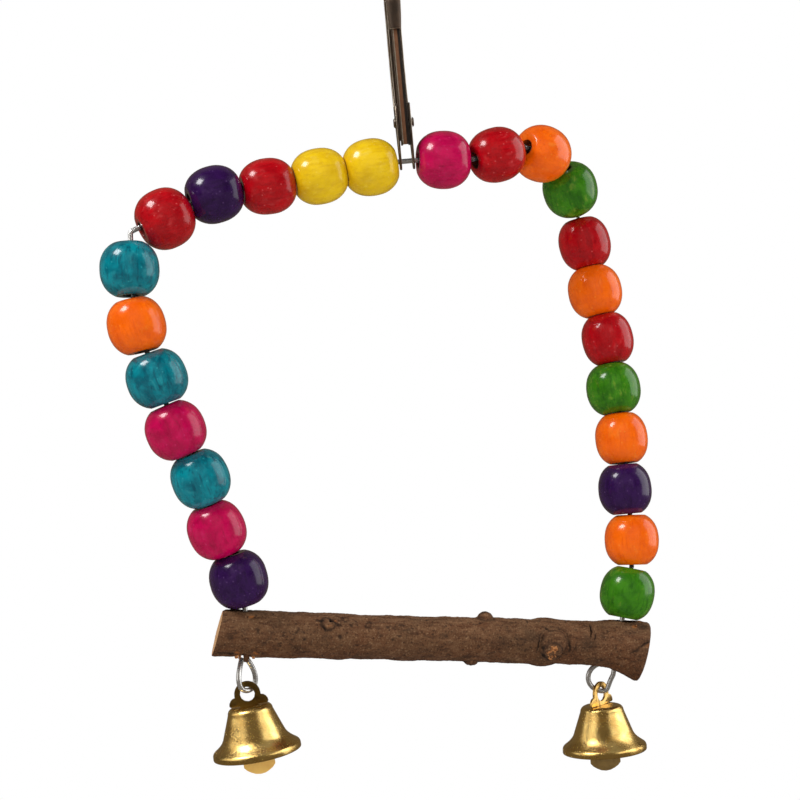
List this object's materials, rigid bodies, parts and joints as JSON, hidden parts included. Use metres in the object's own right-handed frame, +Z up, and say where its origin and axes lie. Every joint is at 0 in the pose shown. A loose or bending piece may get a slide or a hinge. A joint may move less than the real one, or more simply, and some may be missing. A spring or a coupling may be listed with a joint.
{
  "type": "hanging bird swing",
  "caption": "Hanging bird swing: a wire arch threaded with lacquered wooden beads, a natural branch perch, a brass bell on a wire eye at each end and a snap clip at the top.",
  "frame": {"origin": "the seat inside the top of the clip's hook, where the cage wire lies", "axes": "+Z up, +X along the perch to the right as seen in the picture, +Y to the back"},
  "size_m": [0.183, 0.038, 0.2539],
  "materials": {
    "lacquer_red": "dyed and lacquered turned wood, glossy, slightly mottled",
    "lacquer_orange": "dyed and lacquered turned wood, glossy, slightly mottled",
    "lacquer_yellow": "dyed and lacquered turned wood, glossy, slightly mottled",
    "lacquer_green": "dyed and lacquered turned wood, glossy, slightly mottled",
    "lacquer_teal": "dyed and lacquered turned wood, glossy, slightly mottled",
    "lacquer_purple": "dyed and lacquered turned wood, glossy, slightly mottled",
    "lacquer_magenta": "dyed and lacquered turned wood, glossy, slightly mottled",
    "bark": "natural bark, matt, with pale sawn ends",
    "galvanised_wire": "galvanised wire, half bright",
    "brass": "polished brass plate, a little scratched",
    "aged_brass": "darkened brass sheet",
    "bronzed_steel": "dark bronzed steel, worn bright on the edges",
    "spring_steel": "plain spring steel"
  },
  "bodies": {
    "clip": {"clip_body": "bronzed_steel", "gate_rivet": "bronzed_steel", "gate_spring": "spring_steel"},
    "gate": {"clip_gate": "bronzed_steel"},
    "swing": {"swing_wire": "galvanised_wire", "perch": "bark"},
    "left_bell": {"left_bell_shell": "brass", "left_bell_hanger": "aged_brass"},
    "left_link": {"left_clapper_link": "galvanised_wire"},
    "left_clapper": {"left_clapper": "aged_brass"},
    "right_bell": {"right_bell_shell": "brass", "right_bell_hanger": "aged_brass"},
    "right_link": {"right_clapper_link": "galvanised_wire"},
    "right_clapper": {"right_clapper": "aged_brass"},
    "bead_left_01": {"bead_left_01_yellow": "lacquer_yellow"},
    "bead_left_02": {"bead_left_02_yellow": "lacquer_yellow"},
    "bead_left_03": {"bead_left_03_red": "lacquer_red"},
    "bead_left_04": {"bead_left_04_purple": "lacquer_purple"},
    "bead_left_05": {"bead_left_05_red": "lacquer_red"},
    "bead_left_06": {"bead_left_06_teal": "lacquer_teal"},
    "bead_left_07": {"bead_left_07_orange": "lacquer_orange"},
    "bead_left_08": {"bead_left_08_teal": "lacquer_teal"},
    "bead_left_09": {"bead_left_09_magenta": "lacquer_magenta"},
    "bead_left_10": {"bead_left_10_teal": "lacquer_teal"},
    "bead_left_11": {"bead_left_11_magenta": "lacquer_magenta"},
    "bead_left_12": {"bead_left_12_purple": "lacquer_purple"},
    "bead_right_01": {"bead_right_01_magenta": "lacquer_magenta"},
    "bead_right_02": {"bead_right_02_red": "lacquer_red"},
    "bead_right_03": {"bead_right_03_orange": "lacquer_orange"},
    "bead_right_04": {"bead_right_04_green": "lacquer_green"},
    "bead_right_05": {"bead_right_05_red": "lacquer_red"},
    "bead_right_06": {"bead_right_06_orange": "lacquer_orange"},
    "bead_right_07": {"bead_right_07_red": "lacquer_red"},
    "bead_right_08": {"bead_right_08_green": "lacquer_green"},
    "bead_right_09": {"bead_right_09_orange": "lacquer_orange"},
    "bead_right_10": {"bead_right_10_purple": "lacquer_purple"},
    "bead_right_11": {"bead_right_11_orange": "lacquer_orange"},
    "bead_right_12": {"bead_right_12_green": "lacquer_green"}
  },
  "joints": [
    {"name": "swing_hinge", "type": "hinge", "parent": "clip", "child": "swing", "pos_m": [0.00491, -0.00127, -0.05467], "axis": [0.964, -0.2493, 0.0924], "range_deg": [-60, 60]},
    {"name": "gate_hinge", "type": "hinge", "parent": "clip", "child": "gate", "pos_m": [0.00329, -0.00312, -0.04282], "axis": [-0.964, 0.2493, -0.0924], "range_deg": [0, 20], "stiffness_Nm_per_rad": 0.04, "springref_deg": -17.19, "deforming": ["gate_spring"]},
    {"name": "left_bell_hinge", "type": "hinge", "parent": "swing", "child": "left_bell", "pos_m": [-0.04629, -0.00135, -0.21992], "axis": [0.8565, 0.5153, 0.0299], "range_deg": [-35, 35]},
    {"name": "left_link_hinge", "type": "hinge", "parent": "left_bell", "child": "left_link", "pos_m": [-0.04506, -0.00127, -0.22859], "axis": [0.2714, 0.9613, 0.0479], "range_deg": [-18, 18]},
    {"name": "left_clapper_hinge", "type": "hinge", "parent": "left_link", "child": "left_clapper", "pos_m": [-0.04429, -0.00127, -0.23292], "axis": [0.2714, 0.9613, 0.0479], "range_deg": [-12, 12]},
    {"name": "right_bell_hinge", "type": "hinge", "parent": "swing", "child": "right_bell", "pos_m": [0.07101, 0.00027, -0.22517], "axis": [0.9455, -0.2796, -0.1667], "range_deg": [-35, 35]},
    {"name": "right_link_hinge", "type": "hinge", "parent": "right_bell", "child": "right_link", "pos_m": [0.07187, 0.00038, -0.23391], "axis": [-0.156, 0.9877, -0.0123], "range_deg": [-18, 18]},
    {"name": "right_clapper_hinge", "type": "hinge", "parent": "right_link", "child": "right_clapper", "pos_m": [0.07221, 0.00038, -0.2383], "axis": [-0.156, 0.9877, -0.0123], "range_deg": [-12, 12]},
    {"name": "bead_left_01_spin", "type": "hinge", "parent": "swing", "child": "bead_left_01", "pos_m": [-0.00637, 0.00065, -0.0568], "axis": [-0.9721, 0.1392, -0.189], "continuous": true},
    {"name": "bead_left_02_spin", "type": "hinge", "parent": "swing", "child": "bead_left_02", "pos_m": [-0.02257, 0.00268, -0.0599], "axis": [-0.9728, 0.1045, -0.2068], "continuous": true},
    {"name": "bead_left_03_spin", "type": "hinge", "parent": "swing", "child": "bead_left_03", "pos_m": [-0.03895, 0.00385, -0.06349], "axis": [-0.9842, 0.0349, -0.1735], "continuous": true},
    {"name": "bead_left_04_spin", "type": "hinge", "parent": "swing", "child": "bead_left_04", "pos_m": [-0.05576, 0.00415, -0.0665], "axis": [-0.9563, 0, -0.2924], "continuous": true},
    {"name": "bead_left_05_spin", "type": "hinge", "parent": "swing", "child": "bead_left_05", "pos_m": [-0.07113, 0.00384, -0.07443], "axis": [-0.8905, -0.0349, -0.4537], "continuous": true},
    {"name": "bead_left_06_spin", "type": "hinge", "parent": "swing", "child": "bead_left_06", "pos_m": [-0.08227, 0.00223, -0.09028], "axis": [0.0347, -0.1045, -0.9939], "continuous": true},
    {"name": "bead_left_07_spin", "type": "hinge", "parent": "swing", "child": "bead_left_07", "pos_m": [-0.08039, 0.00042, -0.10759], "axis": [0.2237, -0.1045, -0.969], "continuous": true},
    {"name": "bead_left_08_spin", "type": "hinge", "parent": "swing", "child": "bead_left_08", "pos_m": [-0.07439, -0.00093, -0.12363], "axis": [0.3416, -0.0523, -0.9384], "continuous": true},
    {"name": "bead_left_09_spin", "type": "hinge", "parent": "swing", "child": "bead_left_09", "pos_m": [-0.06875, -0.00166, -0.13945], "axis": [0.4065, -0.0349, -0.913], "continuous": true},
    {"name": "bead_left_10_spin", "type": "hinge", "parent": "swing", "child": "bead_left_10", "pos_m": [-0.06113, -0.00195, -0.15432], "axis": [0.3746, 0, -0.9272], "continuous": true},
    {"name": "bead_left_11_spin", "type": "hinge", "parent": "swing", "child": "bead_left_11", "pos_m": [-0.05606, -0.0018, -0.17008], "axis": [0.3745, 0.0175, -0.927], "continuous": true},
    {"name": "bead_left_12_spin", "type": "hinge", "parent": "swing", "child": "bead_left_12", "pos_m": [-0.04912, -0.00151, -0.18549], "axis": [0.2923, 0.0175, -0.9562], "continuous": true},
    {"name": "bead_right_01_spin", "type": "hinge", "parent": "swing", "child": "bead_right_01", "pos_m": [0.01638, -0.00303, -0.05411], "axis": [0.9919, -0.1219, 0.0346], "continuous": true},
    {"name": "bead_right_02_spin", "type": "hinge", "parent": "swing", "child": "bead_right_02", "pos_m": [0.03426, -0.00303, -0.05188], "axis": [0.9541, 0.1219, 0.2736], "continuous": true},
    {"name": "bead_right_03_spin", "type": "hinge", "parent": "swing", "child": "bead_right_03", "pos_m": [0.05181, 0.00272, -0.05018], "axis": [0.8667, 0.4695, -0.1685], "continuous": true},
    {"name": "bead_right_04_spin", "type": "hinge", "parent": "swing", "child": "bead_right_04", "pos_m": [0.06504, 0.01179, -0.06047], "axis": [0.4289, 0.4067, -0.8066], "continuous": true},
    {"name": "bead_right_05_spin", "type": "hinge", "parent": "swing", "child": "bead_right_05", "pos_m": [0.07114, 0.01427, -0.07803], "axis": [0.1885, -0.1564, -0.9695], "continuous": true},
    {"name": "bead_right_06_spin", "type": "hinge", "parent": "swing", "child": "bead_right_06", "pos_m": [0.07382, 0.01169, -0.09411], "axis": [0.1715, -0.1564, -0.9727], "continuous": true},
    {"name": "bead_right_07_spin", "type": "hinge", "parent": "swing", "child": "bead_right_07", "pos_m": [0.07729, 0.00911, -0.11005], "axis": [0.1545, -0.1564, -0.9755], "continuous": true},
    {"name": "bead_right_08_spin", "type": "hinge", "parent": "swing", "child": "bead_right_08", "pos_m": [0.07825, 0.0065, -0.12653], "axis": [0.1032, -0.1564, -0.9823], "continuous": true},
    {"name": "bead_right_09_spin", "type": "hinge", "parent": "swing", "child": "bead_right_09", "pos_m": [0.08014, 0.00403, -0.14291], "axis": [0.0518, -0.1392, -0.9889], "continuous": true},
    {"name": "bead_right_10_spin", "type": "hinge", "parent": "swing", "child": "bead_right_10", "pos_m": [0.08056, 0.00214, -0.15951], "axis": [0.0695, -0.0872, -0.9938], "continuous": true},
    {"name": "bead_right_11_spin", "type": "hinge", "parent": "swing", "child": "bead_right_11", "pos_m": [0.08234, 0.00068, -0.17614], "axis": [0, -0.0872, -0.9962], "continuous": true},
    {"name": "bead_right_12_spin", "type": "hinge", "parent": "swing", "child": "bead_right_12", "pos_m": [0.08032, -0.00039, -0.19345], "axis": [-0.2078, -0.0349, -0.9776], "continuous": true}
  ]
}
